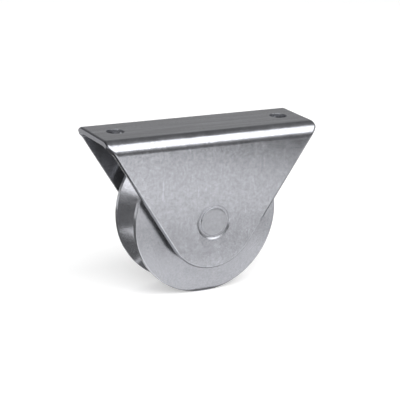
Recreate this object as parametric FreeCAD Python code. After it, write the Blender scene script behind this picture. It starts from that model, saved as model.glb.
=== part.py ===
import FreeCAD, Part

import math
import os

# A grooved steel wheel in a folded outside bracket, for a sliding gate that runs on an angle-iron rail.
# X runs along the bracket, Y along the axle, Z up. The origin is the middle of the flat mounting face
# on top, and the wheel hangs below it. The side at -Y is called the front.

# Bracket: one sheet, punched and folded into a channel with two tapering ears
sheet = 3.0
bracket_length = 118.0
bracket_width = 40.0
bend_radius_inside = 4.0
axle_drop = 46.0
ear_tip_radius = 25.0
taper_start = 1.8
taper_corner_radius = 3.0
edge_roll = 0.7
hole_from_end = 12.5
hole_diameter = 9.0

# Shallow dish pressed inwards round each end of the axle, and the boss that it raises on the ear's
# inner face
dish_diameter = 19.2
dish_depth = 0.5
dish_draft = 0.2
dish_rim_round = 0.15
boss_wall = 2.25
boss_chamfer = 0.3

# Wheel, turned from solid bar
wheel_diameter = 80.0
wheel_width = 24.0
groove_angle = 90.0
groove_land = 2.5
groove_bottom_radius = 2.0
rim_chamfer = 0.4
shoulder_bore = 30.0
bore_chamfer = 0.5

# Axle and the two spacer tubes on it
axle_diameter = 15.0
tenon_diameter = 12.0
rivet_head_diameter = 14.2
rivet_seat_angle = 90.0
rivet_head_round = 0.25
rivet_mark_diameter = 2.0
rivet_mark_depth = 0.25
spacer_diameter = 20.8
spacer_chamfer = 0.3

# Deep-groove ball bearing
bearing_outer = 35.0
bearing_width = 11.0
ball_diameter = 5.953
ball_count = 8
ball_pitch_diameter = 25.0
raceway_conformity = 1.03
inner_shoulder_diameter = 21.7
outer_shoulder_diameter = 28.3
race_corner = 0.6
shield_seat_step = 0.85
shield_seat_depth = 0.9
shield_rim_width = 1.3
shield_thickness = 0.4

# Ribbon cage of the bearing
ribbon_thickness = 0.5
ribbon_width = 2.3
rivet_shank_diameter = 1.1
rivet_button_diameter = 1.9
rivet_button_height = 0.35

# Retaining ring in the wheel's bore
ring_thickness = 1.5
ring_section = 2.6
ring_gap_angle = 32.0
ring_lug_radius = 2.6
ring_lug_hole = 2.5

# Fits and clearances
tenon_clearance = 0.05
axle_clearance = 0.02
spacer_clearance = 0.06
ball_clearance = 0.02
pocket_clearance = 0.15
shield_clearance = 0.3
ring_groove_clearance = 0.1
ring_groove_depth = 1.0
same_place = 0.01

# Places worked out from the sizes above
bend_radius = bend_radius_inside + sheet
flat_half_width = bracket_width / 2 - bend_radius
half_length = bracket_length / 2
ear_outside = bracket_width / 2
ear_inside = ear_outside - sheet
seat = ear_inside - dish_depth
dish_floor = ear_outside - dish_depth
axle_height = -axle_drop
ear_foot = axle_height - ear_tip_radius
pocket_radius = ball_diameter / 2 + pocket_clearance
raceway_radius = raceway_conformity * ball_diameter / 2
ring_seat = bearing_width / 2
shield_seat_radius = outer_shoulder_diameter / 2 + shield_seat_step
rivet_seat_slope = math.tan(math.radians(rivet_seat_angle / 2))

Y_AXIS = FreeCAD.Vector(0, 1, 0)
Z_AXIS = FreeCAD.Vector(0, 0, 1)
AXLE_CENTRE = FreeCAD.Vector(0, 0, axle_height)


def turned(points):
    """A solid turned about the axle from the (radius, y) corners of its section."""
    corners = [FreeCAD.Vector(radius, y, 0) for radius, y in points]
    face = Part.Face(Part.makePolygon(corners + corners[:1]))
    return placed_on_axle(face.revolve(FreeCAD.Vector(), Y_AXIS, 360))


def placed_on_axle(shape):
    """Moves a shape built round the Y axis to the axle's height."""
    moved = shape.copy()
    moved.translate(AXLE_CENTRE)
    return moved


def rod(radius, y_from, y_to):
    """A cylinder along Y round the axle's line, between two places on it."""
    start = FreeCAD.Vector(0, y_from, axle_height)
    return Part.makeCylinder(radius, y_to - y_from, start, Y_AXIS)


def mirrored_in_y(shape):
    """The same shape on the other side of the wheel."""
    return shape.mirror(FreeCAD.Vector(), Y_AXIS)


def long_bar(half_width, top, corner_radius):
    """A bar along X, longer than the bracket, with its two upper edges rounded."""
    length = bracket_length + 2 * sheet
    corner = FreeCAD.Vector(-length / 2, -half_width, ear_foot - sheet)
    bar = Part.makeBox(length, 2 * half_width, top - corner.z, corner)
    top_edges = [edge for edge in bar.Edges if edge.BoundBox.ZMin > top - same_place]
    return bar.makeFillet(corner_radius, [edge for edge in top_edges if edge.BoundBox.YLength < same_place])


def folded_channel():
    """The sheet folded into a channel, before its ends and ears have their outline."""
    return long_bar(ear_outside, 0, bend_radius).cut(long_bar(ear_inside, -sheet, bend_radius_inside))


def side_outline():
    """The bracket's outline as seen along the axle, as a prism right across the channel.

    From the square top the edge turns into the ear's slant through a rounded corner on the bend, and
    the two slants run into the round tip about the axle.
    """
    rise = axle_drop - taper_start
    reach = math.hypot(half_length, rise)
    tip_angle = math.atan2(rise, half_length) - math.acos(ear_tip_radius / reach)
    tip_x = ear_tip_radius * math.cos(tip_angle)
    tip_z = axle_height + ear_tip_radius * math.sin(tip_angle)
    slant = math.atan2(half_length - tip_x, -taper_start - tip_z)
    centre_x = half_length - taper_corner_radius
    centre_z = -taper_start + taper_corner_radius * math.tan(slant / 2)

    def on_corner(angle):
        x = centre_x + taper_corner_radius * math.cos(angle)
        return FreeCAD.Vector(x, 0, centre_z - taper_corner_radius * math.sin(angle))

    above = FreeCAD.Vector(half_length, 0, sheet)
    right = [above, on_corner(0), on_corner(slant / 2), on_corner(slant), FreeCAD.Vector(tip_x, 0, tip_z)]
    left = [FreeCAD.Vector(-point.x, 0, point.z) for point in right]
    tip = FreeCAD.Vector(0, 0, ear_foot)
    outline = Part.Wire([
        Part.LineSegment(right[0], right[1]).toShape(),
        Part.Arc(right[1], right[2], right[3]).toShape(),
        Part.LineSegment(right[3], right[4]).toShape(),
        Part.Arc(right[4], tip, left[4]).toShape(),
        Part.LineSegment(left[4], left[3]).toShape(),
        Part.Arc(left[3], left[2], left[1]).toShape(),
        Part.LineSegment(left[1], left[0]).toShape(),
        Part.LineSegment(left[0], right[0]).toShape(),
    ])
    prism = Part.Face(outline).extrude(FreeCAD.Vector(0, 2 * bracket_width, 0))
    prism.translate(FreeCAD.Vector(0, -bracket_width, 0))
    return prism


def is_rolled_edge(edge):
    """Says whether an edge is on the outside of the sheet's rim, where the punch rolled it over."""
    middle = edge.valueAt((edge.FirstParameter + edge.LastParameter) / 2)
    across = abs(middle.y) - flat_half_width
    if across <= 0:
        outside = middle.z > -same_place
    elif middle.z > -bend_radius:
        outside = abs(math.hypot(across, middle.z + bend_radius) - bend_radius) < same_place
    else:
        outside = across > bend_radius - same_place
    is_fold_line = abs(middle.x) < same_place and middle.z > -bend_radius - same_place
    return outside and not is_fold_line


def front_dish_boss():
    """The raised back of the dish, which seats the axle's shoulder."""
    foot = ear_outside - sheet / 2
    outside = dish_diameter / 2 + boss_wall
    return turned([(0, -foot), (outside, -foot), (outside, -seat - boss_chamfer),
                   (outside - boss_chamfer, -seat), (0, -seat)])


def front_dish_hollow():
    """The hollow of the dish, and the countersunk hole through its floor."""
    rim = dish_diameter / 2
    head = rivet_head_diameter / 2
    hole = tenon_diameter / 2 + tenon_clearance
    lip = rim + dish_rim_round
    front = ear_outside + sheet
    back = seat - sheet
    return turned([(0, -front), (lip, -front), (lip, -ear_outside), (rim, -ear_outside + dish_rim_round),
                   (rim - dish_draft, -dish_floor), (head, -dish_floor),
                   (hole, -dish_floor + (head - hole) / rivet_seat_slope), (hole, -back), (0, -back)])


def bracket():
    """One folded sheet: the flat top, two bends and two ears, with its dishes and fixing holes."""
    sheet_blank = folded_channel().common(side_outline())
    body = sheet_blank.makeFillet(edge_roll, [edge for edge in sheet_blank.Edges if is_rolled_edge(edge)])
    boss = front_dish_boss()
    body = body.multiFuse([boss, mirrored_in_y(boss)])
    hollow = front_dish_hollow()
    body = body.cut(hollow).cut(mirrored_in_y(hollow))
    for side in (-1, 1):
        foot = FreeCAD.Vector(side * (half_length - hole_from_end), 0, -2 * sheet)
        body = body.cut(Part.makeCylinder(hole_diameter / 2, 3 * sheet, foot, Z_AXIS))
    return body


def axle():
    """One turned pin: shouldered for the ears, with each end riveted over into its countersunk hole."""
    body = axle_diameter / 2
    tenon = tenon_diameter / 2
    head = rivet_head_diameter / 2
    right = [(body, seat), (tenon, seat), (tenon, dish_floor - (head - tenon) / rivet_seat_slope),
             (head, dish_floor), (head, ear_outside - rivet_head_round), (head - rivet_head_round, ear_outside),
             (rivet_mark_diameter / 2, ear_outside), (0, ear_outside - rivet_mark_depth)]
    left = [(radius, -y) for radius, y in reversed(right)]
    return turned(left + right)


def front_spacer():
    """A plain tube that holds the bearing's inner race in the middle of the channel."""
    inner = axle_diameter / 2 + spacer_clearance
    outer = spacer_diameter / 2
    near = -ring_seat
    far = -seat
    return turned([(inner, near), (outer - spacer_chamfer, near), (outer, near - spacer_chamfer),
                   (outer, far + spacer_chamfer), (outer - spacer_chamfer, far), (inner, far)])


def raceway(bottom_radius, direction):
    """The ring that is cut from a race for its balls. Direction 1 has the balls outside the race."""
    centre = bottom_radius + direction * raceway_radius
    circle = Part.makeCircle(raceway_radius, FreeCAD.Vector(centre, 0, 0), Z_AXIS)
    return placed_on_axle(Part.Face(Part.Wire(circle)).revolve(FreeCAD.Vector(), Y_AXIS, 360))


def inner_race():
    """The bearing's inner race, clamped on the axle between the spacers."""
    bore = axle_diameter / 2 + axle_clearance
    shoulder = inner_shoulder_diameter / 2
    half = bearing_width / 2
    chamfer = race_corner / 2
    blank = turned([(bore, -half + race_corner), (bore + race_corner, -half), (shoulder - chamfer, -half),
                    (shoulder, -half + chamfer), (shoulder, half - chamfer), (shoulder - chamfer, half),
                    (bore + race_corner, half), (bore, half - race_corner)])
    return blank.cut(raceway(ball_pitch_diameter / 2 - ball_diameter / 2 - ball_clearance, 1))


def outer_race():
    """The bearing's outer race, seated in the wheel, with a step on each side for a shield."""
    outside = bearing_outer / 2
    shoulder = outer_shoulder_diameter / 2
    seat_radius = shield_seat_radius
    half = bearing_width / 2
    step = half - shield_seat_depth
    blank = turned([(outside, -half + race_corner), (outside - race_corner, -half), (seat_radius, -half),
                    (seat_radius, -step), (shoulder, -step), (shoulder, step), (seat_radius, step),
                    (seat_radius, half), (outside - race_corner, half), (outside, half - race_corner)])
    return blank.cut(raceway(ball_pitch_diameter / 2 + ball_diameter / 2 + ball_clearance, -1))


def ball_centre(index):
    """Where a ball sits on the pitch circle, counted from +X towards +Z."""
    angle = 2 * math.pi * index / ball_count
    radius = ball_pitch_diameter / 2
    return FreeCAD.Vector(radius * math.cos(angle), 0, axle_height + radius * math.sin(angle))


def ball(index):
    """One ball, with its seam across the axle's line."""
    sphere = Part.makeSphere(ball_diameter / 2)
    sphere.rotate(FreeCAD.Vector(), FreeCAD.Vector(1, 0, 0), 90)
    sphere.translate(ball_centre(index))
    return sphere


def rivet_place(index):
    """The x and z of a cage rivet, halfway between two balls."""
    angle = 2 * math.pi * (index + 0.5) / ball_count
    radius = ball_pitch_diameter / 2
    return radius * math.cos(angle), axle_height + radius * math.sin(angle)


def front_cage():
    """One half of the ribbon cage: a flat ring with a rounded pocket over each ball."""
    inside = (ball_pitch_diameter - ribbon_width) / 2
    outside = (ball_pitch_diameter + ribbon_width) / 2
    reach = pocket_radius + ribbon_thickness
    flat = rod(outside, -ribbon_thickness, 0).cut(rod(inside, -ribbon_thickness, 0))
    band = rod(outside, -reach, 0).cut(rod(inside, -reach, 0))
    shells = []
    pockets = []
    for index in range(ball_count):
        centre = ball_centre(index)
        shells.append(Part.makeSphere(reach, centre))
        pockets.append(Part.makeSphere(pocket_radius, centre))
    half = flat.multiFuse([band.common(shell) for shell in shells])
    half = half.cut(Part.makeCompound(pockets))
    for index in range(ball_count):
        x, z = rivet_place(index)
        start = FreeCAD.Vector(x, -sheet, z)
        half = half.cut(Part.makeCylinder(rivet_shank_diameter / 2, sheet, start, Y_AXIS))
    return half.removeSplitter()


def cage_rivets():
    """The small rivets that hold the two halves of the cage together between the balls."""
    rivets = []
    for index in range(ball_count):
        x, z = rivet_place(index)
        reach = ribbon_thickness + rivet_button_height
        shank = Part.makeCylinder(rivet_shank_diameter / 2, 2 * reach, FreeCAD.Vector(x, -reach, z), Y_AXIS)
        buttons = []
        for start in (-reach, ribbon_thickness):
            place = FreeCAD.Vector(x, start, z)
            buttons.append(Part.makeCylinder(rivet_button_diameter / 2, rivet_button_height, place, Y_AXIS))
        rivets.append(shank.multiFuse(buttons).removeSplitter())
    return Part.makeCompound(rivets)


def front_shield():
    """A thin pressed cover, seated in the outer race and clear of the inner one."""
    outside = shield_seat_radius
    inside = inner_shoulder_diameter / 2 + shield_clearance
    seat_y = -bearing_width / 2 + shield_seat_depth
    face_y = seat_y - shield_thickness
    step = shield_thickness / 2
    bend = outside - shield_rim_width
    return turned([(outside, seat_y), (outside, face_y), (bend, face_y), (bend - step, face_y - step),
                   (inside, face_y - step), (inside, seat_y - step), (bend - step, seat_y - step),
                   (bend, seat_y)])


def retaining_ring():
    """A spring ring in the groove of the wheel's bore, with two lugs for the pliers, open at the top."""
    outside = bearing_outer / 2 + ring_groove_depth - ring_groove_clearance
    inside = outside - ring_section
    far = -ring_seat - ring_thickness
    ring = rod(outside, far, -ring_seat).cut(rod(inside, far, -ring_seat))
    half_gap = math.radians(ring_gap_angle / 2)
    reach = 2 * outside
    points = [FreeCAD.Vector(0, far, axle_height)]
    for side in (-1, 1):
        x = side * reach * math.sin(half_gap)
        z = axle_height + reach * math.cos(half_gap)
        points.append(FreeCAD.Vector(x, far, z))
    gap = Part.Face(Part.makePolygon(points + points[:1])).extrude(FreeCAD.Vector(0, ring_thickness, 0))
    ring = ring.cut(gap)
    lug_radius = inside - ring_lug_radius / 2
    lug_angle = half_gap + ring_lug_radius / lug_radius
    for side in (-1, 1):
        x = side * lug_radius * math.sin(lug_angle)
        z = axle_height + lug_radius * math.cos(lug_angle)
        start = FreeCAD.Vector(x, far, z)
        lug = Part.makeCylinder(ring_lug_radius, ring_thickness, start, Y_AXIS)
        hole = Part.makeCylinder(ring_lug_hole / 2, ring_thickness, start, Y_AXIS)
        ring = ring.fuse(lug).cut(hole)
    return ring.removeSplitter()


def wheel():
    """The turned wheel: two flat faces, a V groove with a rounded root, and a bore for the bearing."""
    radius = wheel_diameter / 2
    half = wheel_width / 2
    mouth = half - groove_land
    steepness = 1 / math.tan(math.radians(groove_angle / 2))
    bore = bearing_outer / 2
    shoulder = shoulder_bore / 2
    groove = bore + ring_groove_depth
    groove_far = -ring_seat - ring_thickness - ring_groove_clearance
    shoulder_y = bearing_width / 2
    blank = turned([(bore + bore_chamfer, -half), (radius - rim_chamfer, -half),
                    (radius, -half + rim_chamfer), (radius, half - rim_chamfer),
                    (radius - rim_chamfer, half), (shoulder + bore_chamfer, half),
                    (shoulder, half - bore_chamfer), (shoulder, shoulder_y), (bore, shoulder_y),
                    (bore, -ring_seat), (groove, -ring_seat), (groove, groove_far),
                    (bore, groove_far), (bore, -half + bore_chamfer)])
    half_angle = math.radians(groove_angle / 2)
    root = radius - mouth * steepness
    centre = root + groove_bottom_radius / math.sin(half_angle)
    touch_y = groove_bottom_radius * math.cos(half_angle)
    touch_radius = centre - groove_bottom_radius * math.sin(half_angle)
    beyond = rim_chamfer
    outer_y = mouth + beyond / steepness
    front_mouth = FreeCAD.Vector(radius + beyond, -outer_y, 0)
    front_touch = FreeCAD.Vector(touch_radius, -touch_y, 0)
    bottom = FreeCAD.Vector(centre - groove_bottom_radius, 0, 0)
    rear_touch = FreeCAD.Vector(touch_radius, touch_y, 0)
    rear_mouth = FreeCAD.Vector(radius + beyond, outer_y, 0)
    outline = Part.Wire([
        Part.LineSegment(front_mouth, front_touch).toShape(),
        Part.Arc(front_touch, bottom, rear_touch).toShape(),
        Part.LineSegment(rear_touch, rear_mouth).toShape(),
        Part.LineSegment(rear_mouth, front_mouth).toShape(),
    ])
    cutter = placed_on_axle(Part.Face(outline).revolve(FreeCAD.Vector(), Y_AXIS, 360))
    return blank.cut(cutter)


def parts_by_name():
    """Every separate piece, by the name that it is kept under."""
    spacer = front_spacer()
    cage = front_cage()
    shield = front_shield()
    shapes = {
        "bracket": bracket(),
        "axle": axle(),
        "spacer_front": spacer,
        "spacer_rear": mirrored_in_y(spacer),
        "bearing_inner_race": inner_race(),
        "bearing_outer_race": outer_race(),
        "cage_front": cage,
        "cage_rear": mirrored_in_y(cage),
        "cage_rivets": cage_rivets(),
        "shield_front": shield,
        "shield_rear": mirrored_in_y(shield),
        "retaining_ring": retaining_ring(),
        "wheel": wheel(),
    }
    for index in range(ball_count):
        shapes[f"ball_{index + 1}"] = ball(index)
    return shapes


os.makedirs("parts", exist_ok=True)
for name, shape in parts_by_name().items():
    shape.exportStep(f"parts/{name}.step")
    state = "valid" if shape.isValid() else "INVALID"
    print(name, len(shape.Solids), "solid(s)", round(shape.Volume, 2), "mm3", state)
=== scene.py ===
"""Dresses a grooved gate wheel and its folded bracket: shapes, zinc-plated finishes, studio and camera."""

import math

import bmesh
import bpy
from bpy.props import FloatProperty, FloatVectorProperty, PointerProperty
from mathutils import Matrix, Vector


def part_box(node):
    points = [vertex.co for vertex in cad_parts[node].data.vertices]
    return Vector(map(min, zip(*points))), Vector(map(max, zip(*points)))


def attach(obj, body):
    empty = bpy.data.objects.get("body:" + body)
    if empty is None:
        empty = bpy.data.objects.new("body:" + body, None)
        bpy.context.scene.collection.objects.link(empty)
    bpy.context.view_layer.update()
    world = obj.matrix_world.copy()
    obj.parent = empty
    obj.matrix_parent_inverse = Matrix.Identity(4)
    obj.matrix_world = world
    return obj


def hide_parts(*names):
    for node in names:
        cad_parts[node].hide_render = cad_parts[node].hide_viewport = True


bl_info = {
    "name": "Gate wheel in a folded bracket",
    "version": (1, 0, 0),
    "blender": (4, 5, 0),
    "location": "View3D > Sidebar > Gate Wheel",
    "description": "Makes the wheel, bracket, axle and bearing of a sliding gate's wheel, with its studio",
    "category": "Object",
}

MM = 0.001
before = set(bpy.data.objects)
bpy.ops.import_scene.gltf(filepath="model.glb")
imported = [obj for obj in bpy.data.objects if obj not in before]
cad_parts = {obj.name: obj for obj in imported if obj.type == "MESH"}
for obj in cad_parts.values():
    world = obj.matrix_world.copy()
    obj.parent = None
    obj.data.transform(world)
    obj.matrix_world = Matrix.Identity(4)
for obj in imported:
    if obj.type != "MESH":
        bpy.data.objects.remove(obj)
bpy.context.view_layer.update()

PANEL_TAB = "Gate Wheel"

# Places that every piece shares, read from the frame
bracket_low, bracket_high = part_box("bracket")
wheel_low, wheel_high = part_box("wheel")
AXLE_Z = (wheel_low.z + wheel_high.z) / 2
AXLE_CENTRE = Vector((0, 0, AXLE_Z))
Y_AXIS = Vector((0, 1, 0))
HALF_LENGTH = bracket_high.x
EAR_OUTSIDE = bracket_high.y
TIP_RADIUS = AXLE_Z - bracket_low.z
WHEEL_RADIUS = wheel_high.x
WHEEL_HALF_WIDTH = wheel_high.y
FLOOR_Z = wheel_low.z

WHITE = (1.0, 1.0, 1.0, 1.0)
# Edges that turn more than this stay hard when shaded
SHARP_ANGLE = math.radians(32)
# Distance of the loops beside a round, which keep the flat stretches flat when shaded
SUPPORT = 0.25 * MM
# Points closer than this are merged, on a made piece and on a frame node's loose triangles
MERGE_MADE = 0.0005 * MM
MERGE_NODE = 0.001 * MM
# A cut across the blank takes points this close as lying on it
CUT_SLACK = 0.001 * MM
# Steps of each bend, of the slant and half the tip of an ear's outline, and of a circle in the blank
BEND_STEPS = 24
SLANT_STEPS = 10
TIP_STEPS = 28
CIRCLE_STEPS = 96


def millimetres(name, description, default):
    """A length property that is written in millimetres."""
    return FloatProperty(name=name, description=description, default=default * MM, unit="LENGTH",
                         subtype="DISTANCE")


def metres(name, description, default):
    """A length property of the studio, written in metres."""
    return FloatProperty(name=name, description=description, default=default, unit="LENGTH")


def angle_size(name, description, default):
    """An angle property, written in radians."""
    return FloatProperty(name=name, description=description, default=default, subtype="ANGLE")


def number(name, description, default):
    """A property that is a plain number."""
    return FloatProperty(name=name, description=description, default=default)


def position(name, description, default):
    """A place in space, written in metres."""
    return FloatVectorProperty(name=name, description=description, default=default, size=3, subtype="XYZ",
                               unit="LENGTH")


def linear(hex_colour):
    """Turns an sRGB colour such as B4B6B9 into Blender's linear red, green, blue and alpha."""
    channels = []
    for start in (0, 2, 4):
        value = int(hex_colour[start:start + 2], 16) / 255
        channels.append(value / 12.92 if value <= 0.04045 else ((value + 0.055) / 1.055) ** 2.4)
    return (*channels, 1.0)


def colour(name, description, hex_colour):
    """A colour property with an sRGB hex default."""
    return FloatVectorProperty(name=name, description=description, default=linear(hex_colour),
                               size=4, min=0.0, max=1.0, subtype="COLOR")


class BracketSettings(bpy.types.PropertyGroup):
    sheet: millimetres("Sheet", "Thickness of the folded steel sheet", 3.0)
    bend_radius: millimetres("Bend radius", "Outside radius of the two folds", 7.0)
    taper_start: millimetres("Taper start", "How far below the top the slanted edges' line begins", 1.8)
    taper_corner: millimetres("Taper corner", "Radius between the square end and the slant", 3.0)
    slope_width: millimetres("Slope width", "Width of the slope that the punch left on the rim", 0.65)
    slope_depth: millimetres("Slope depth", "Depth of the slope that the punch left on the rim", 0.8)
    slope_round: millimetres("Slope round", "Round between the outer face and that slope", 1.3)
    edge_round: millimetres("Edge round", "Small round on the sheet's other edges", 0.2)
    hole_from_end: millimetres("Hole from end", "Distance of a fixing hole from the bracket's end", 12.5)
    hole_radius: millimetres("Hole radius", "Radius of the fixing holes", 4.5)
    hole_round: millimetres("Hole round", "Round on the upper edge of the fixing holes", 0.12)
    dish_radius: millimetres("Dish radius", "Radius of the dish pressed in round the axle", 9.6)
    dish_depth: millimetres("Dish depth", "Depth of that dish", 0.5)
    dish_draft: millimetres("Dish draft", "How much the dish narrows to its floor", 1.1)
    dish_lip: millimetres("Dish lip", "Round on the dish's rim", 0.15)
    cone_width: millimetres("Cone width", "Width of the shallow cone inside the dish's rim", 1.0)
    cone_depth: millimetres("Cone depth", "Depth of that cone", 0.47)
    dish_hole: millimetres("Dish hole", "Radius of the hole through the dish's floor", 6.05)
    boss_radius: millimetres("Boss radius", "Radius of the boss behind the dish", 11.85)
    boss_round: millimetres("Boss round", "Round on the boss's edge", 0.3)
    ring_line: millimetres("Ring line", "Width of the line that the punch left round the dish", 0.3)
    line_round: millimetres("Line round", "Round on the inner edge of that line", 0.05)
    rivet_seat: millimetres("Rivet seat", "Radius of the countersunk seat for a riveted head", 7.1)
    zinc: colour("Zinc", "Colour of the plated sheet", "A3A4A9")
    # Partly the duller plating of a cut edge, partly painted shade: this darker colour draws the dark line
    # along the ears' edges
    sheared: colour("Sheared edge", "Colour of the thin, dull plating on the sheared edge", "6E6F74")


class WheelSettings(bpy.types.PropertyGroup):
    groove_land: millimetres("Groove land", "Flat rim on each side of the groove", 2.5)
    groove_angle: angle_size("Groove angle", "Angle between the groove's flanks", math.radians(90))
    groove_root: millimetres("Groove root", "Radius in the bottom of the groove", 2.0)
    rim_round: millimetres("Rim round", "Round on the rim's outer edges", 0.4)
    land_round: millimetres("Land round", "Round where a land meets its flank", 0.3)
    bearing_bore: millimetres("Bearing bore", "Radius of the bore for the bearing", 17.5)
    shoulder_bore: millimetres("Shoulder bore", "Radius of the bore past the shoulder", 15.0)
    ring_groove: millimetres("Ring groove", "Depth of the groove for the retaining ring", 1.0)
    ring_width: millimetres("Ring width", "Width of the groove for the retaining ring", 1.6)
    bore_chamfer: millimetres("Bore chamfer", "Chamfer on both ends of the bore", 0.5)
    zinc: colour("Zinc", "Colour of the plated, turned wheel", "A4A5AA")


class AxleSettings(bpy.types.PropertyGroup):
    radius: millimetres("Radius", "Radius of the axle between the ears", 7.5)
    tenon: millimetres("Tenon", "Radius of the axle in the ears' holes", 6.0)
    head: millimetres("Head", "Radius of the riveted heads", 7.1)
    head_round: millimetres("Head round", "Round on the rim of a riveted head", 0.25)
    head_rim: millimetres("Head rim", "Width of the sloped rim that the riveting tool left", 0.9)
    head_slope: millimetres("Head slope", "How far that rim slopes back", 0.1)
    slope_round: millimetres("Slope round", "Round where that rim starts", 0.3)
    mark_radius: millimetres("Centre mark", "Radius of the mark in the middle of a head", 1.6)
    mark_depth: millimetres("Mark depth", "Depth of that mark", 0.1)
    mark_round: millimetres("Mark round", "Round on the edge of that mark", 0.5)
    spacer: millimetres("Spacer", "Outer radius of the spacer tubes", 10.4)
    spacer_play: millimetres("Spacer play", "Gap between the axle and a spacer tube", 0.06)
    spacer_round: millimetres("Spacer round", "Round on the outer edges of a spacer tube", 0.3)
    zinc: colour("Zinc", "Colour of the plated axle and spacers", "A5A6AB")


class BearingSettings(bpy.types.PropertyGroup):
    width: millimetres("Width", "Width of both races", 11.0)
    inner_shoulder: millimetres("Inner shoulder", "Outer radius of the inner race", 10.85)
    outer_shoulder: millimetres("Outer shoulder", "Inner radius of the outer race", 14.15)
    ball_radius: millimetres("Ball radius", "Radius of one ball", 2.9765)
    pitch_radius: millimetres("Pitch radius", "Radius of the circle that the balls' centres lie on", 12.5)
    shield_seat: millimetres("Shield seat", "Radius of the step that holds a shield", 15.0)
    seat_depth: millimetres("Seat depth", "Depth of that step", 0.9)
    shield_thickness: millimetres("Shield thickness", "Thickness of a shield", 0.4)
    shield_rim: millimetres("Shield rim", "Width of a shield's flat rim, up to its bulge", 1.3)
    shield_bend: millimetres("Shield bend", "Round on both bends of that bulge", 0.2)
    shield_gap: millimetres("Shield gap", "Gap between a shield and the inner race", 0.3)
    race_round: millimetres("Race round", "Round on the corners of the races", 0.5)
    play: millimetres("Play", "Gap between the axle and the inner race, and of each ball in its groove", 0.02)
    conformity: number("Conformity", "Radius of the grooves over the radius of a ball", 1.03)
    steel: colour("Ground steel", "Colour of the races and balls", "C6C7C8")
    pressed: colour("Pressed steel", "Colour of the shields and the cage", "A3A39F")
    spring: colour("Spring steel", "Colour of the dark retaining ring", "3A3A3C")


class StudioSettings(bpy.types.PropertyGroup):
    view_turn: angle_size("Turn", "Turn of the camera round the object", 0.501)
    view_tilt: angle_size("Tilt", "Height of the camera over the object", 0.303)
    view_roll: angle_size("Roll", "Turn of the camera about its own line of sight", 0.039)
    origin_in_view: position("Origin in view", "The origin's place right of, below and away from the camera",
                             (-0.559 * MM, -38.713 * MM, 767.21 * MM))
    lens: number("Lens", "Focal length in millimetres", 136.804)
    sensor: number("Sensor", "Width of the camera's sensor in millimetres", 36.0)
    floor: colour("Floor", "Colour of the floor", "D4D4D4")
    floor_glow: number("Floor glow", "What keeps the floor white for the camera and the metal", 0.42)
    floor_reach: metres("Floor's reach", "How far the floor reaches to the sides and the back", 3.0)
    floor_front: metres("Floor's front", "How far the floor reaches in front of the axle", 0.40)
    floor_skew: number("Floor's skew", "Slope of the floor's front edge across the view", 1.0)
    softbox: number("Softbox", "Brightness of the lamp, where 1 is white", 2.9)
    softbox_reach: metres("Softbox distance", "Distance of the lamp from the object", 1.2)
    softbox_low: angle_size("Softbox low edge", "Angle of its low edge over the front", math.radians(23))
    softbox_high: angle_size("Softbox high edge", "Angle of its high edge over the front", math.radians(77))
    softbox_width: metres("Softbox width", "Width of the lamp", 2.3)
    fill: FloatProperty(name="Fill", description="Power of the soft lamp behind, which metal doesn't show",
                        default=8.0, subtype="POWER", unit="POWER")
    fill_size: metres("Fill size", "Diameter of that lamp", 1.5)
    fill_place: position("Fill place", "Where that lamp hangs", (0.3, 1.2, 1.3))
    fill_tilt: angle_size("Fill tilt", "Tilt of that lamp towards the object", math.radians(-40))
    strips_radius: metres("Strips radius", "Radius of the ball that the strips lie on", 6.0)
    card_turn: angle_size("Card's turn", "Turn of the standing card round the object", math.radians(123))
    card_place: position("Card's place", "Centre of that white card before its turn", (0.0, 1.1, 0.36))
    card_width: metres("Card's width", "Width of that card", 0.9)
    card_height: metres("Card's height", "Height of that card", 0.52)
    card_glow: number("Card's glow", "Brightness of that card, where 1 is white", 2.4)
    paper_lift: millimetres("Paper's lift", "Height of the lying cards over the floor", 0.5)


def linked(name, data):
    """A new object in the scene."""
    made = bpy.data.objects.new(name, data)
    bpy.context.scene.collection.objects.link(made)
    return made


def mesh_object(bm, name, material):
    """Turns a bmesh into an object with one material."""
    mesh = bpy.data.meshes.new(name)
    bm.to_mesh(mesh)
    bm.free()
    mesh.materials.append(material)
    return linked(name, mesh)


def finished_mesh(bm, name, material):
    """Closes a bmesh: merges its doubles, points its faces outwards and keeps its hard edges sharp."""
    bmesh.ops.remove_doubles(bm, verts=bm.verts, dist=MERGE_MADE)
    bmesh.ops.recalc_face_normals(bm, faces=bm.faces)
    for face in bm.faces:
        face.smooth = True
    for edge in bm.edges:
        edge.smooth = edge.is_manifold and edge.calc_face_angle(0.0) < SHARP_ANGLE
    return mesh_object(bm, name, material)


def quarter_round(radius, steps):
    """(inset, depth) pairs of a round edge, from its flat side to its wall."""
    angles = [math.pi / 2 * step / steps for step in range(steps + 1)]
    return [(radius * (1 - math.sin(angle)), radius * (1 - math.cos(angle))) for angle in angles]


def rounded_section(corners, closed=True, steps=5):
    """Points of a section from (radius, y, rounding) corners, with an arc at each rounded corner.

    Each arc has a close neighbour on both sides, which keeps the flat stretches flat when shaded.
    """
    points = []
    count = len(corners)
    for index, (radius, y, rounding) in enumerate(corners):
        here = Vector((radius, y))
        if rounding <= 0 or (not closed and index in (0, count - 1)):
            points.append(here)
            continue
        before = Vector(corners[index - 1][:2]) - here
        after = Vector(corners[(index + 1) % count][:2]) - here
        half_angle = before.angle(after) / 2
        setback = rounding / math.tan(half_angle)
        way_in, way_out = before.normalized(), after.normalized()
        centre = here + (way_in + way_out).normalized() * (rounding / math.sin(half_angle))
        first_arm = here + way_in * setback - centre
        last_arm = here + way_out * setback - centre
        sweep = first_arm.angle_signed(last_arm)
        if before.length > setback + 2 * SUPPORT:
            points.append(here + way_in * (setback + SUPPORT))
        for step in range(steps + 1):
            arm = first_arm.copy()
            arm.rotate(Matrix.Rotation(-sweep * step / steps, 2))
            points.append(centre + arm)
        if after.length > setback + 2 * SUPPORT:
            points.append(here + way_out * (setback + SUPPORT))
    return points


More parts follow.
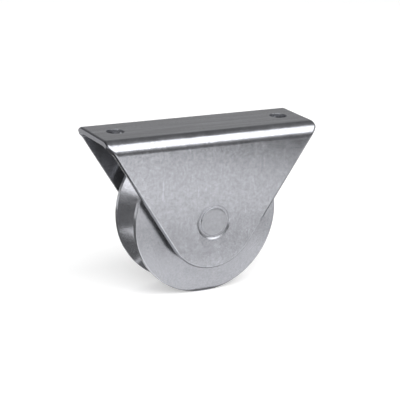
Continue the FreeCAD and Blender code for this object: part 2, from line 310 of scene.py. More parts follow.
def turned(name, corners, material, closed=True, turns=128, steps=5):
    """A piece turned about the axle from (radius, y, rounding) corners of its section."""
    bm = bmesh.new()
    section = [bm.verts.new((point.x, point.y, AXLE_Z)) for point in rounded_section(corners, closed, steps)]
    edges = [bm.edges.new(pair) for pair in zip(section, section[1:])]
    if closed:
        edges.append(bm.edges.new((section[-1], section[0])))
    bmesh.ops.spin(bm, geom=section + edges, cent=AXLE_CENTRE, axis=Y_AXIS, dvec=(0, 0, 0),
                   angle=2 * math.pi, steps=turns, use_merge=True, use_duplicate=False)
    return finished_mesh(bm, name, material)


def on_body(piece, body, node):
    """Lets a piece ride on its body and stand for its frame node, which it hides."""
    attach(piece, body)
    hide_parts(node)


def add_node(tree, kind, inputs=None, **settings):
    """Adds one node, with its settings, and fills or links its inputs."""
    made = tree.nodes.new(kind)
    for name, value in settings.items():
        setattr(made, name, value)
    for socket, value in (inputs or {}).items():
        if isinstance(value, bpy.types.NodeSocket):
            tree.links.new(value, made.inputs[socket])
        else:
            made.inputs[socket].default_value = value
    return made


def new_material(name):
    """An empty node material and its output."""
    material = bpy.data.materials.new(name)
    material.use_nodes = True
    tree = material.node_tree
    tree.nodes.clear()
    return material, tree, tree.nodes.new("ShaderNodeOutputMaterial")


def per_mm(size):
    """A texture scale whose features are about this many millimetres across."""
    return 1 / (size * MM)


# Zinc plating has a thin dull haze over its metal, which a little diffuse light stands for
HAZED_METAL = 0.90
# Noise textures keep mostly between these two values
NOISE_LOW = 0.3
NOISE_HIGH = 0.7


def between(tree, pattern, low, high):
    """Maps what a noise texture gives onto a range."""
    reach = {"From Min": NOISE_LOW, "From Max": NOISE_HIGH, "To Min": low, "To Max": high}
    return add_node(tree, "ShaderNodeMapRange", {"Value": pattern, **reach}).outputs[0]


def tinted(tree, base, level):
    """The base colour made darker or lighter by a level near 1."""
    grey = add_node(tree, "ShaderNodeCombineColor", {"Red": level, "Green": level, "Blue": level})
    mix = add_node(tree, "ShaderNodeMix", {"Factor": 1.0, 6: base, 7: grey.outputs[0]},
                   data_type="RGBA", blend_type="MULTIPLY")
    return mix.outputs[2]


def noise(tree, place, size, detail=3.0, roughness=0.6, stretch=None):
    """A noise texture whose features are about this many millimetres across. Stretch makes them longer."""
    if stretch:
        place = add_node(tree, "ShaderNodeMapping", {"Vector": place, "Scale": stretch}).outputs[0]
    return add_node(tree, "ShaderNodeTexNoise", {"Vector": place, "Scale": per_mm(size), "Detail": detail,
                                                 "Roughness": roughness}).outputs[0]


def added(tree, first, second, weight=1.0):
    """One pattern plus a share of another."""
    return add_node(tree, "ShaderNodeMath", {0: second, 1: weight, 2: first},
                    operation="MULTIPLY_ADD").outputs[0]


def zinc_plated_sheet(name, base):
    """Cold-rolled sheet with bright zinc plating: satin, faintly mottled, rubbed along its length."""
    material, tree, output = new_material(name)
    place = add_node(tree, "ShaderNodeTexCoord").outputs["Object"]
    # Passivated zinc is clouded over 7 mm and wavy over 1.3 mm, which frays the edges of a highlight
    cloud = noise(tree, place, 7)
    peel = noise(tree, place, 1.3, roughness=0.7)
    # Rubbing marks run down the ears, 0.7 mm apart, and along the top. Real ones are finer and wouldn't show
    down = noise(tree, place, 0.7, stretch=(1.0, 1.0, 0.3))
    along = noise(tree, place, 4, detail=4.0, stretch=(0.06, 1.0, 1.0))
    normal = add_node(tree, "ShaderNodeNewGeometry").outputs["Normal"]
    upward = add_node(tree, "ShaderNodeSeparateXYZ", {0: normal}).outputs["Z"]
    on_top = add_node(tree, "ShaderNodeMapRange", {"Value": upward, "From Min": 0.3,
                                                   "From Max": 0.7}).outputs[0]
    rubbed = add_node(tree, "ShaderNodeMix", {0: on_top, 2: between(tree, down, 0.94, 1.05),
                                              3: between(tree, along, 0.78, 1.18)}).outputs[0]
    # A few long, light scratches from handling
    scratch = noise(tree, place, 1.1, detail=1.0, stretch=(1.0, 1.0, 0.09))
    scratched = add_node(tree, "ShaderNodeMapRange", {"Value": scratch, "From Min": 0.66, "From Max": 0.74,
                                                      "To Min": 1.0, "To Max": 1.16}).outputs[0]
    shade = tinted(tree, base, between(tree, cloud, 0.91, 1.07))
    shade = tinted(tree, shade, between(tree, peel, 0.86, 1.13))
    shade = tinted(tree, shade, rubbed)
    shade = tinted(tree, shade, scratched)
    height = added(tree, peel, rubbed, 0.35)
    bump = add_node(tree, "ShaderNodeBump", {"Height": height, "Strength": 1.0, "Distance": 0.012 * MM})
    shader = add_node(tree, "ShaderNodeBsdfPrincipled", {
        "Base Color": shade, "Metallic": HAZED_METAL, "Roughness": between(tree, cloud, 0.18, 0.25),
        "Normal": bump.outputs[0]})
    tree.links.new(shader.outputs[0], output.inputs[0])
    return material


def turned_metal(name, base, roughness, line_spacing, depth, metallic=1.0):
    """Metal turned on a lathe: fine rings about the axle, which spread a highlight across them.

    Line spacing is in millimetres. The lines are coarser than real ones, which wouldn't show.
    """
    material, tree, output = new_material(name)
    place = add_node(tree, "ShaderNodeTexCoord").outputs["Object"]
    centred = add_node(tree, "ShaderNodeMapping", {"Vector": place, "Location": (0, 0, -AXLE_Z)}).outputs[0]
    flat = add_node(tree, "ShaderNodeVectorMath", {0: centred, 1: (1.0, 0.0, 1.0)},
                    operation="MULTIPLY").outputs[0]
    radius = add_node(tree, "ShaderNodeVectorMath", {0: flat}, operation="LENGTH").outputs["Value"]
    across = add_node(tree, "ShaderNodeSeparateXYZ", {0: place}).outputs["Y"]
    # Rings on a flat face follow the radius, and on a rim or a cone the way along the axle counts too
    reach = added(tree, radius, across, 1.7)
    rings = add_node(tree, "ShaderNodeTexNoise", {"W": reach, "Scale": per_mm(line_spacing), "Detail": 3.0,
                                                  "Roughness": 0.7}, noise_dimensions="1D").outputs[0]
    cloud = noise(tree, place, 8)
    peel = noise(tree, place, 1.2)
    shade = tinted(tree, base, between(tree, cloud, 0.92, 1.06))
    shade = tinted(tree, shade, between(tree, peel, 0.89, 1.10))
    shade = tinted(tree, shade, between(tree, rings, 0.91, 1.08))
    height = added(tree, rings, peel, 0.5)
    bump = add_node(tree, "ShaderNodeBump", {"Height": height, "Strength": 1.0, "Distance": depth})
    shader = add_node(tree, "ShaderNodeBsdfPrincipled", {
        "Base Color": shade, "Metallic": metallic,
        "Roughness": between(tree, cloud, roughness - 0.03, roughness + 0.04), "Normal": bump.outputs[0]})
    tree.links.new(shader.outputs[0], output.inputs[0])
    return material


def slant_end(settings):
    """(x, z) where the slant, which touches the round tip, runs into it."""
    rise = -AXLE_Z - settings.taper_start
    reach = math.hypot(HALF_LENGTH, rise)
    angle = math.atan2(rise, HALF_LENGTH) - math.acos(TIP_RADIUS / reach)
    return TIP_RADIUS * math.cos(angle), AXLE_Z + TIP_RADIUS * math.sin(angle)


def outline_x(z, settings):
    """Half the bracket's length at a height below its top, from the square end to the slant."""
    corner = settings.taper_corner
    tip_x, tip_z = slant_end(settings)
    slant = math.atan2(HALF_LENGTH - tip_x, -settings.taper_start - tip_z)
    centre_x = HALF_LENGTH - corner
    centre_z = -settings.taper_start + corner * math.tan(slant / 2)
    if z >= centre_z:
        return HALF_LENGTH
    if z >= centre_z - corner * math.sin(slant):
        return centre_x + math.sqrt(corner ** 2 - (z - centre_z) ** 2)
    return tip_x + (z - tip_z) * math.tan(slant)


def bend_lines(settings):
    """How far from the blank's middle line a bend begins, and where it ends and the ear begins."""
    begins = EAR_OUTSIDE - settings.bend_radius
    return begins, begins + settings.bend_radius * math.pi / 2


def blank_outline(settings):
    """The outline of the flat blank, as (x, across) points all round it."""
    radius = settings.bend_radius
    bend_begins, ear_begins = bend_lines(settings)
    quarter = [(HALF_LENGTH, share * bend_begins) for share in (0.0, 0.35, 0.7)]
    for step in range(BEND_STEPS + 1):
        angle = math.pi / 2 * step / BEND_STEPS
        z = -radius + radius * math.cos(angle)
        quarter.append((outline_x(z, settings), bend_begins + radius * angle))
    slant_z = slant_end(settings)[1]
    for step in range(1, SLANT_STEPS):
        z = -radius + (slant_z + radius) * step / SLANT_STEPS
        quarter.append((outline_x(z, settings), ear_begins - radius - z))
    tip_top = math.asin((slant_z - AXLE_Z) / TIP_RADIUS)
    for step in range(TIP_STEPS + 1):
        angle = tip_top + (-math.pi / 2 - tip_top) * step / TIP_STEPS
        z = AXLE_Z + TIP_RADIUS * math.sin(angle)
        quarter.append((TIP_RADIUS * math.cos(angle), ear_begins - radius - z))
    quarter[-1] = (0.0, quarter[-1][1])
    back = quarter[::-1]
    return (quarter[:-1] + [(-x, across) for x, across in back[:-1]]
            + [(-x, -across) for x, across in quarter[:-1]] + [(x, -across) for x, across in back[:-1]])


def moved_inwards(outline, inset):
    """The outline moved inwards, square to itself, by a small distance."""
    points = [Vector(point) for point in outline]
    moved = []
    for index, point in enumerate(points):
        way_in = (point - points[index - 1]).normalized()
        way_out = (points[(index + 1) % len(points)] - point).normalized()
        along = (way_in + way_out).normalized()
        moved.append(point - Vector((along.y, -along.x)) * inset)
    return moved


def wall(bm, loops):
    """Draws the first closed loop of places and extrudes it through the others. Gives both ends' edges."""
    verts = [bm.verts.new(place) for place in loops[0]]
    edges = first = [bm.edges.new(pair) for pair in zip(verts, verts[1:] + verts[:1])]
    for places in loops[1:]:
        made = set(bmesh.ops.extrude_edge_only(bm, edges=edges)["geom"])
        verts = [next(edge.other_vert(vert) for edge in vert.link_edges if edge.other_vert(vert) in made)
                 for vert in verts]
        for vert, place in zip(verts, places):
            vert.co = place
        edges = [bm.edges.get(pair) for pair in zip(verts, verts[1:] + verts[:1])]
    return first, edges


def circle_in_blank(x, across, radius, depth):
    """Places on a circle in the flat blank, at a depth below its outer face."""
    turns = [2 * math.pi * step / CIRCLE_STEPS for step in range(CIRCLE_STEPS)]
    return [(x + radius * math.cos(turn), across + radius * math.sin(turn), -depth) for turn in turns]


def inner_edge(settings, steps):
    """(inset, depth) pairs of the small round where a wall meets the sheet's inner face."""
    sheet, edge = settings.sheet, settings.edge_round
    return [(inset, sheet - depth) for inset, depth in reversed(quarter_round(edge, steps))] \
        + [(edge + SUPPORT, sheet)]


def rim_section(settings):
    """(inset, depth) pairs down the blank's rim: a slope outside, then the wall and a small round inside."""
    edge, slope_width = settings.edge_round, settings.slope_width
    corners = [(slope_width + settings.slope_round, 0.0, 0.0), (slope_width, 0.0, settings.slope_round),
               (0.0, settings.slope_depth, edge), (0.0, settings.sheet - edge - SUPPORT, 0.0)]
    return [tuple(point) for point in rounded_section(corners, closed=False)] + inner_edge(settings, 3)


def hole_section(settings):
    """(inset, depth) pairs down a fixing hole."""
    top_round = settings.hole_round
    return [(top_round + SUPPORT, 0.0)] + quarter_round(top_round, 4) \
        + [(0.0, settings.sheet - settings.edge_round - SUPPORT)] + inner_edge(settings, 2)


def dish_section(settings):
    """(radius, depth) pairs from the ear's outer face, down the dish, through its hole and over the boss."""
    rim, floor, sheet = settings.dish_radius, settings.dish_depth, settings.sheet
    lip, seat = settings.dish_lip, settings.rivet_seat
    back = floor + sheet
    boss, boss_round = settings.boss_radius, settings.boss_round
    line, foot = settings.ring_line, rim - settings.dish_draft
    corners = [(rim + 2 * lip + SUPPORT, 0.0, 0.0), (rim, 0.0, lip),
               (rim - settings.cone_width, settings.cone_depth, 0.0), (foot, floor + line / 2, 0.0),
               (foot - line, floor + line / 2, 0.0), (foot - line, floor, settings.line_round),
               (seat, floor, 0.0), (settings.dish_hole, floor + seat - settings.dish_hole, 0.0),
               (settings.dish_hole, back, 0.0), (boss, back, boss_round / 2), (boss, sheet, boss_round / 2),
               (boss + boss_round + SUPPORT, sheet, 0.0)]
    return rounded_section(corners, closed=False)


def folded(bm, settings):
    """Folds the flat blank: the two ears turn down round the bends."""
    radius = settings.bend_radius
    bend_begins, ear_begins = bend_lines(settings)
    for vert in bm.verts:
        across, depth = abs(vert.co.y), -vert.co.z
        side = math.copysign(1.0, vert.co.y)
        if across <= bend_begins:
            continue
        if across <= ear_begins:
            angle = (across - bend_begins) / radius
            vert.co.y = side * (bend_begins + (radius - depth) * math.sin(angle))
            vert.co.z = -radius + (radius - depth) * math.cos(angle)
        else:
            vert.co.y = side * (EAR_OUTSIDE - depth)
            vert.co.z = -radius - (across - ear_begins)


def bracket_mesh(settings):
    """The folded bracket, made as the real one is: a flat blank, its edges and dishes, then the folds."""
    bm = bmesh.new()
    outline = blank_outline(settings)
    upper, lower = wall(bm, [[(*point, -depth) for point in moved_inwards(outline, inset)]
                             for inset, depth in rim_section(settings)])
    # Past the first quarter of the slope, the rim takes the second finish: duller plating and painted shade
    for face in bm.faces:
        if -face.calc_center_median().z > settings.slope_depth / 4:
            face.material_index = 1
    hole_x = HALF_LENGTH - settings.hole_from_end
    bend_begins, ear_begins = bend_lines(settings)
    dish_across = ear_begins - settings.bend_radius - AXLE_Z
    for side in (-1, 1):
        hole = wall(bm, [circle_in_blank(side * hole_x, 0.0, settings.hole_radius + inset, depth)
                         for inset, depth in hole_section(settings)])
        dish = wall(bm, [circle_in_blank(0.0, side * dish_across, point.x, point.y)
                         for point in dish_section(settings)])
        upper = upper + hole[0] + dish[0]
        lower = lower + hole[1] + dish[1]
    for edges in (upper, lower):
        bmesh.ops.triangle_fill(bm, use_beauty=True, use_dissolve=False, edges=edges, normal=(0, 0, 1))
    rows = [bend_begins - SUPPORT, ear_begins + SUPPORT]
    rows += [bend_begins + (ear_begins - bend_begins) * step / BEND_STEPS for step in range(BEND_STEPS + 1)]
    for across in rows:
        for side in (-1, 1):
            whole = list(bm.verts) + list(bm.edges) + list(bm.faces)
            bmesh.ops.bisect_plane(bm, geom=whole, dist=CUT_SLACK, plane_co=(0, side * across, 0),
                                   plane_no=(0, 1, 0))
    folded(bm, settings)
    return bm


class GATEWHEEL_OT_bracket(bpy.types.Operator):
    """Makes the folded sheet bracket"""
    bl_idname = "gatewheel.bracket"
    bl_label = "Bracket"

    def execute(self, context):
        settings = context.scene.gate_bracket
        zinc = zinc_plated_sheet("bright_zinc_on_cold_rolled_sheet", settings.zinc)
        bracket = finished_mesh(bracket_mesh(settings), "folded_bracket", zinc)
        # The sheared rim's darker finish is partly duller plating and partly painted shade along the edges
        bracket.data.materials.append(zinc_plated_sheet("dull_zinc_and_painted_shade_on_sheared_edge", settings.sheared))
        on_body(bracket, "root", "bracket")
        return {"FINISHED"}


class GATEWHEEL_OT_wheel(bpy.types.Operator):
    """Turns the grooved wheel"""
    bl_idname = "gatewheel.wheel"
    bl_label = "Wheel"

    def execute(self, context):
        settings = context.scene.gate_wheel
        half_bearing = context.scene.gate_bearing.width / 2
        radius, half = WHEEL_RADIUS, WHEEL_HALF_WIDTH
        mouth = half - settings.groove_land
        root = radius - mouth / math.tan(settings.groove_angle / 2)
        bore, shoulder, chamfer = settings.bearing_bore, settings.shoulder_bore, settings.bore_chamfer
        groove, groove_end = bore + settings.ring_groove, -half_bearing - settings.ring_width
        corners = [
            (bore + chamfer, -half, 0.0), (radius, -half, settings.rim_round),
            (radius, -mouth, settings.land_round), (root, 0.0, settings.groove_root),
            (radius, mouth, settings.land_round), (radius, half, settings.rim_round),
            (shoulder + chamfer, half, 0.0), (shoulder, half - chamfer, 0.0), (shoulder, half_bearing, 0.0),
            (bore, half_bearing, 0.0), (bore, -half_bearing, 0.0), (groove, -half_bearing, 0.0),
            (groove, groove_end, 0.0), (bore, groove_end, 0.0), (bore, -half + chamfer, 0.0)]
        zinc = turned_metal("bright_zinc_on_turned_steel", settings.zinc, roughness=0.20, line_spacing=0.25,
                            depth=0.006 * MM, metallic=HAZED_METAL)
        wheel = turned("turned_wheel", corners, zinc, turns=256, steps=8)
        on_body(wheel, "wheel", "wheel")
        return {"FINISHED"}


class GATEWHEEL_OT_axle(bpy.types.Operator):
    """Turns the riveted axle and its two spacer tubes"""
    bl_idname = "gatewheel.axle"
    bl_label = "Axle and spacers"

    def execute(self, context):
        settings = context.scene.gate_axle
        bracket = context.scene.gate_bracket
        seat = EAR_OUTSIDE - bracket.sheet - bracket.dish_depth
        floor = EAR_OUTSIDE - bracket.dish_depth
        zinc = turned_metal("zinc_on_riveted_axle", settings.zinc, roughness=0.30, line_spacing=0.3,
                            depth=0.02 * MM, metallic=HAZED_METAL)
        slope = settings.head - settings.tenon
        half = [(0.0, EAR_OUTSIDE - settings.mark_depth, 0.0),
                (settings.mark_radius, EAR_OUTSIDE, settings.mark_round),
                (settings.head - settings.head_rim, EAR_OUTSIDE, settings.slope_round),
                (settings.head, EAR_OUTSIDE - settings.head_slope, settings.head_round),
                (settings.head, floor, 0.0), (settings.tenon, floor - slope, 0.0),
                (settings.tenon, seat, 0.0), (settings.radius, seat, 0.0)]
        corners = half + [(radius, -y, rounding) for radius, y, rounding in reversed(half)]
        axle = turned("riveted_axle", corners, zinc, closed=False)
        on_body(axle, "root", "axle")
        tube = turned_metal("zinc_on_spacer_tube", settings.zinc, roughness=0.33, line_spacing=0.35,
                            depth=0.015 * MM, metallic=HAZED_METAL)
        near = context.scene.gate_bearing.width / 2
        inner, outer, edge = settings.radius + settings.spacer_play, settings.spacer, settings.spacer_round
        for name, side in (("front", -1), ("rear", 1)):
            corners = [(inner, side * near, 0.0), (outer, side * near, edge), (outer, side * seat, edge),
                       (inner, side * seat, 0.0)]
            spacer = turned(f"spacer_tube_{name}", corners, tube)
            on_body(spacer, "root", f"spacer_{name}")
        return {"FINISHED"}


class GATEWHEEL_OT_bearing(bpy.types.Operator):
    """Makes the ball bearing and the retaining ring"""
    bl_idname = "gatewheel.bearing"
    bl_label = "Bearing"

    def execute(self, context):
        settings = context.scene.gate_bearing
        ground = turned_metal("ground_bearing_steel", settings.steel, roughness=0.16, line_spacing=0.12,
                              depth=0.003 * MM)
        pressed = zinc_plated_sheet("pressed_bearing_strip", settings.pressed)
        spring = turned_metal("phosphated_spring_steel", settings.spring, roughness=0.42, line_spacing=0.4,
                              depth=0.01 * MM)
        self.races(settings, context.scene.gate_axle.radius, ground)
        self.balls(settings, ground)
        self.shields(settings, pressed)
        for node in ("cage_front", "cage_rear", "cage_rivets"):
            on_body(smooth_copy(node, f"pressed_{node}", pressed), "cage", node)
        ring = smooth_copy("retaining_ring", "spring_retaining_ring", spring)
        on_body(ring, "wheel", "retaining_ring")
        return {"FINISHED"}

    def races(self, settings, axle_radius, material):
        """Both races, each with its groove for the balls."""
        half, corner, play = settings.width / 2, settings.race_round, settings.play
        track = settings.ball_radius * settings.conformity
        bore, shoulder = axle_radius + play, settings.inner_shoulder
        corners = [(bore, -half, corner), (shoulder, -half, corner / 2)]
        corners += raceway(settings.pitch_radius - settings.ball_radius - play, shoulder, track, 1)
        corners += [(shoulder, half, corner / 2), (bore, half, corner)]
        race = turned("inner_race_ground", corners, material, steps=3)
        on_body(race, "root", "bearing_inner_race")
        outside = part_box("bearing_outer_race")[1].x
        seat, shoulder, inside = settings.shield_seat, settings.outer_shoulder, half - settings.seat_depth
        corners = [(outside, -half, corner), (seat, -half, 0.0), (seat, -inside, 0.0),
                   (shoulder, -inside, 0.0)]
        corners += raceway(settings.pitch_radius + settings.ball_radius + play, shoulder, track, -1)
        corners += [(shoulder, inside, 0.0), (seat, inside, 0.0), (seat, half, 0.0), (outside, half, corner)]
        race = turned("outer_race_ground", corners, material, steps=3)
        on_body(race, "wheel", "bearing_outer_race")

    def balls(self, settings, material):
        """Each ball where its own node lies."""
        for name in sorted(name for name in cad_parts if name.startswith("ball_")):
            low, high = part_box(name)
            bm = bmesh.new()
            bmesh.ops.create_icosphere(bm, subdivisions=4, radius=settings.ball_radius,
                                       matrix=Matrix.Translation((low + high) / 2))
            on_body(finished_mesh(bm, f"polished_{name}", material), name, name)

    def shields(self, settings, material):
        """The two pressed covers, which bulge outwards by one step."""
        seat, bend, step = settings.shield_seat, settings.shield_bend, settings.shield_thickness / 2
        inner_y = settings.width / 2 - settings.seat_depth
        outer_y = inner_y + settings.shield_thickness
        bulge, inside = seat - settings.shield_rim, settings.inner_shoulder + settings.shield_gap
        for name, side in (("front", -1), ("rear", 1)):
            corners = [(seat, side * inner_y, 0.0), (seat, side * outer_y, 0.0),
                       (bulge, side * outer_y, bend), (bulge - step, side * (outer_y + step), bend),
                       (inside, side * (outer_y + step), 0.0), (inside, side * (inner_y + step), 0.0),
                       (bulge - step, side * (inner_y + step), bend), (bulge, side * inner_y, bend)]
            shield = turned(f"pressed_shield_{name}", corners, material, steps=3)
            on_body(shield, "wheel", f"shield_{name}")


def raceway(bottom, shoulder, track, direction):
    """(radius, y, rounding) corners of the ball groove in a race, from -Y to +Y."""
    centre = bottom + direction * track
    reach = math.sqrt(track ** 2 - (shoulder - centre) ** 2)
    widest = math.asin(reach / track)
    steps = 10
    angles = [-widest + 2 * widest * step / steps for step in range(steps + 1)]
    return [(centre - direction * track * math.cos(angle), track * math.sin(angle), 0.0) for angle in angles]


def smooth_copy(node, name, material):
    """A merged copy of a frame node's mesh, shaded smooth between its hard edges."""
    bm = bmesh.new()
    bm.from_mesh(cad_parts[node].data)
    bmesh.ops.remove_doubles(bm, verts=bm.verts, dist=MERGE_NODE)
    return finished_mesh(bm, name, material)


def floor_material(settings):
    """Pale matt floor that the camera, and the metal, see as the white ground of the photo."""
    material, tree, output = new_material("matt_white_floor")
    paper = add_node(tree, "ShaderNodeBsdfDiffuse", {"Color": settings.floor})
    rays = add_node(tree, "ShaderNodeLightPath").outputs
    seen = add_node(tree, "ShaderNodeMath", {0: rays["Is Camera Ray"], 1: rays["Is Glossy Ray"]},
                    operation="MAXIMUM").outputs[0]
    strength = add_node(tree, "ShaderNodeMath", {0: seen, 1: settings.floor_glow},
                        operation="MULTIPLY").outputs[0]
    glow = add_node(tree, "ShaderNodeEmission", {"Color": WHITE, "Strength": strength})
    both = add_node(tree, "ShaderNodeAddShader", {0: paper.outputs[0], 1: glow.outputs[0]})
    tree.links.new(both.outputs[0], output.inputs[0])
    return material


# Brightness of the studio's cards, in strips along X: by their angle over the front, up and over to the back
STUDIO_STRIPS = (
    (-180, 0.30), (-90, 0.30), (-25, 0.08), (3, 0.10), (10, 0.30), (20, 0.60), (82, 0.50), (88, 0.20),
    (105, 0.12), (125, 0.08), (143, 0.12), (152, 0.34), (170, 0.40), (180, 0.40),
)

# Cards that lie on the floor: name, near left corner, far right corner, skew of the near edge, brightness
# Three of them are painted shadow and shade on the floor, which show only in the metal
LYING_CARDS = (
    # Painted shadow: a dark sheet, seen only in the metal, where the floor behind and left of the wheel lies
    # in its shadow
    ("painted_floor_shadow_behind_left", (-0.20, -0.008), (-0.033, 0.16), 0.0, 0.17),
    ("dark_card_left", (-3.0, -0.5), (-0.080, -0.008), 0.0, 0.17),
    ("dark_card_right", (0.085, -0.09), (0.24, 0.03), 0.0, 0.20),
    # Painted shade: a slightly dimmer sheet, seen only in the metal, where the floor near the object lies in
    # its shade
    ("painted_shade_near_right", (-0.02, -0.125), (0.3, -0.072), 0.0, 0.95),
    # Painted contact shadow: a dark sheet, seen only in the metal, where the wheel stands on the floor
    ("painted_contact_shadow_at_foot", (-0.03, -0.0145), (0.05, 0.01), 0.0, 0.20),
    ("white_card_left", (-0.072, -0.10), (-0.02, -0.012), 0.0, 2.0),
    ("white_card_front", (-0.10, -0.50), (0.14, -0.17), 0.24, 1.6),
)


def strips_material():
    """Glowing strips right round the object, from the front, over the top and to the back."""
    material, tree, output = new_material("studio_strips")
    place = add_node(tree, "ShaderNodeTexCoord").outputs["Object"]
    parts = add_node(tree, "ShaderNodeSeparateXYZ", {0: place}).outputs
    front = add_node(tree, "ShaderNodeMath", {0: parts["Y"], 1: -1.0}, operation="MULTIPLY").outputs[0]
    angle = add_node(tree, "ShaderNodeMath", {0: parts["Z"], 1: front}, operation="ARCTAN2").outputs[0]
    turn = add_node(tree, "ShaderNodeMapRange", {"Value": angle, "From Min": -math.pi,
                                                 "From Max": math.pi}).outputs[0]
    ramp = add_node(tree, "ShaderNodeValToRGB", {"Fac": turn})
    band = ramp.color_ramp
    while len(band.elements) < len(STUDIO_STRIPS):
        band.elements.new(1.0)
    for element, (degrees, level) in zip(band.elements, STUDIO_STRIPS):
        element.position = (degrees + 180) / 360
        element.color = (level, level, level, 1.0)
    glow = add_node(tree, "ShaderNodeEmission", {"Color": ramp.outputs[0], "Strength": 1.0})
    tree.links.new(glow.outputs[0], output.inputs[0])
    return material


def plain_glow(name, level):
    """A card of one even brightness."""
    material, tree, output = new_material(name)
    glow = add_node(tree, "ShaderNodeEmission", {"Color": WHITE, "Strength": level})
    tree.links.new(glow.outputs[0], output.inputs[0])
    return material


def stage_mesh(name, bm, material, seen=False, lights=False):
    """A piece of the stage. What isn't seen shows only in the metal, as a card beside a real camera does, or
    as painted shadow.
    """
    made = mesh_object(bm, name, material)
    made.visible_camera = seen
    made.visible_shadow = seen
    made.visible_diffuse = seen or lights


def flat_card(corner, other, skew=0.0):
    """A level card between two corners. Its front edge may lie askew."""
    bm = bmesh.new()
    (x0, y0, z), (x1, y1) = corner, other
    verts = [bm.verts.new(place) for place in ((x0, y0, z), (x1, y0 + skew, z), (x1, y1, z), (x0, y1, z))]
    bm.faces.new(verts)
    return bm


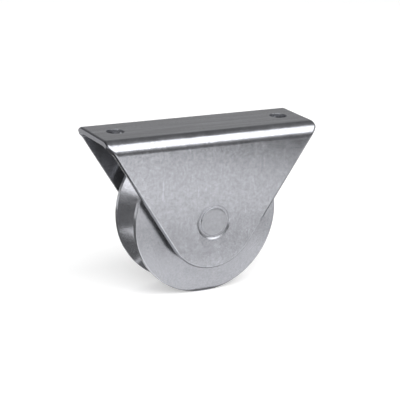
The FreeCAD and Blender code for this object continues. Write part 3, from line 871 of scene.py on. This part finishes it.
class GATEWHEEL_OT_stage(bpy.types.Operator):
    """Sets up the floor, the studio light and the camera"""
    bl_idname = "gatewheel.stage"
    bl_label = "Stage"

    def execute(self, context):
        settings = context.scene.gate_studio
        self.floor(settings)
        self.cards(settings)
        self.lamps(settings)
        self.camera(context, settings)
        context.scene.world = self.world()
        context.scene.view_settings.view_transform = "Standard"
        return {"FINISHED"}

    def floor(self, settings):
        """A pale table whose front edge lies some way in front of the wheel."""
        reach = settings.floor_reach
        skew = settings.floor_skew * 2 * reach
        sheet = flat_card((-reach, -settings.floor_front - skew / 2, FLOOR_Z), (reach, reach), skew)
        stage_mesh("floor", sheet, floor_material(settings), seen=True)

    def cards(self, settings):
        """Strips round the stage, a white card that stands at the left and cards that lie on the floor, some
        of them painted shadow.
        """
        shell = bmesh.new()
        bmesh.ops.create_uvsphere(shell, u_segments=64, v_segments=32, radius=settings.strips_radius)
        bmesh.ops.reverse_faces(shell, faces=shell.faces)
        stage_mesh("studio_strips", shell, strips_material(), lights=True)
        white = bmesh.new()
        bmesh.ops.create_grid(white, x_segments=1, y_segments=1, size=0.5)
        stand = Matrix.Rotation(settings.card_turn, 4, "Z") @ Matrix.Translation(settings.card_place) \
            @ Matrix.Rotation(math.pi / 2, 4, "X") \
            @ Matrix.Diagonal((settings.card_width, settings.card_height, 1.0, 1.0))
        bmesh.ops.transform(white, matrix=stand, verts=white.verts)
        stage_mesh("white_card", white, plain_glow("lit_white_card", settings.card_glow), lights=True)
        # The lying cards show only in the metal. Three of them are painted shadow and shade on the floor
        for name, corner, other, skew, level in LYING_CARDS:
            card = flat_card((*corner, FLOOR_Z + settings.paper_lift), other, skew)
            stage_mesh(name, card, plain_glow(f"paper_{name}", level))

    def lamps(self, settings):
        """One wide softbox above the front, between two angles, and a soft lamp behind."""
        low, high = (Vector((0, -math.cos(angle), math.sin(angle))) * settings.softbox_reach
                     for angle in (settings.softbox_low, settings.softbox_high))
        data = bpy.data.lights.new("softbox", "AREA")
        data.shape = "RECTANGLE"
        data.size = settings.softbox_width
        data.size_y = (high - low).length
        data.energy = settings.softbox * data.size * data.size_y * math.pi
        lean = (settings.softbox_low + settings.softbox_high) / 2
        softbox = linked("softbox", data)
        softbox.matrix_world = Matrix.Translation((low + high) / 2) \
            @ Matrix.Rotation(math.pi / 2 - lean, 4, "X")
        data = bpy.data.lights.new("fill", "AREA")
        data.shape = "DISK"
        data.size = settings.fill_size
        data.energy = settings.fill
        fill = linked("fill", data)
        fill.location = settings.fill_place
        fill.rotation_euler = (settings.fill_tilt, 0, 0)
        fill.visible_glossy = False

    def camera(self, context, settings):
        """The camera that took the photo, as fitted to the object's edges."""
        # Before its turns the camera looks along +Y: X is right, -Z is down and Y is away
        base = Matrix(((1, 0, 0), (0, 0, -1), (0, 1, 0)))
        turn = Matrix.Rotation(settings.view_turn, 3, "Z")
        tilt = Matrix.Rotation(settings.view_tilt, 3, "X")
        roll = Matrix.Rotation(settings.view_roll, 3, "Z")
        view = roll @ base @ tilt @ turn
        data = bpy.data.cameras.new("camera")
        data.sensor_width = settings.sensor
        data.lens = settings.lens
        camera = linked("camera", data)
        right, down, away = view
        rotation = Matrix((right, -down, -away)).transposed()
        camera.matrix_world = Matrix.Translation(-(view.transposed() @ Vector(settings.origin_in_view))) \
            @ rotation.to_4x4()
        context.scene.camera = camera

    def world(self):
        """Plain white behind everything, for the camera: the strips hide it from the object."""
        world = bpy.data.worlds.new("white_studio")
        world.use_nodes = True
        tree = world.node_tree
        tree.nodes.clear()
        output = tree.nodes.new("ShaderNodeOutputWorld")
        sky = add_node(tree, "ShaderNodeBackground", {"Color": WHITE, "Strength": 1.0})
        tree.links.new(sky.outputs[0], output.inputs[0])
        return world


class GATEWHEEL_PT_panel(bpy.types.Panel):
    """Lists the pieces of the gate wheel and its stage"""
    bl_idname = "GATEWHEEL_PT_panel"
    bl_label = "Gate wheel"
    bl_space_type = "VIEW_3D"
    bl_region_type = "UI"
    bl_category = PANEL_TAB

    def draw(self, context):
        for operator, name, _ in PIECES:
            self.layout.operator(operator.bl_idname)
            settings = getattr(context.scene, name)
            for size in settings.__annotations__:
                self.layout.prop(settings, size)


# Each operator with its settings
PIECES = (
    (GATEWHEEL_OT_bracket, "gate_bracket", BracketSettings),
    (GATEWHEEL_OT_wheel, "gate_wheel", WheelSettings),
    (GATEWHEEL_OT_axle, "gate_axle", AxleSettings),
    (GATEWHEEL_OT_bearing, "gate_bearing", BearingSettings),
    (GATEWHEEL_OT_stage, "gate_studio", StudioSettings),
)


def register():
    for operator, name, group in PIECES:
        bpy.utils.register_class(group)
        setattr(bpy.types.Scene, name, PointerProperty(type=group))
        bpy.utils.register_class(operator)
    bpy.utils.register_class(GATEWHEEL_PT_panel)


def unregister():
    bpy.utils.unregister_class(GATEWHEEL_PT_panel)
    for operator, name, group in reversed(PIECES):
        bpy.utils.unregister_class(operator)
        delattr(bpy.types.Scene, name)
        bpy.utils.unregister_class(group)


def main():
    """Makes every piece and the stage."""
    register()
    bpy.ops.gatewheel.bracket()
    bpy.ops.gatewheel.wheel()
    bpy.ops.gatewheel.axle()
    bpy.ops.gatewheel.bearing()
    bpy.ops.gatewheel.stage()


if __name__ == "__main__":
    main()
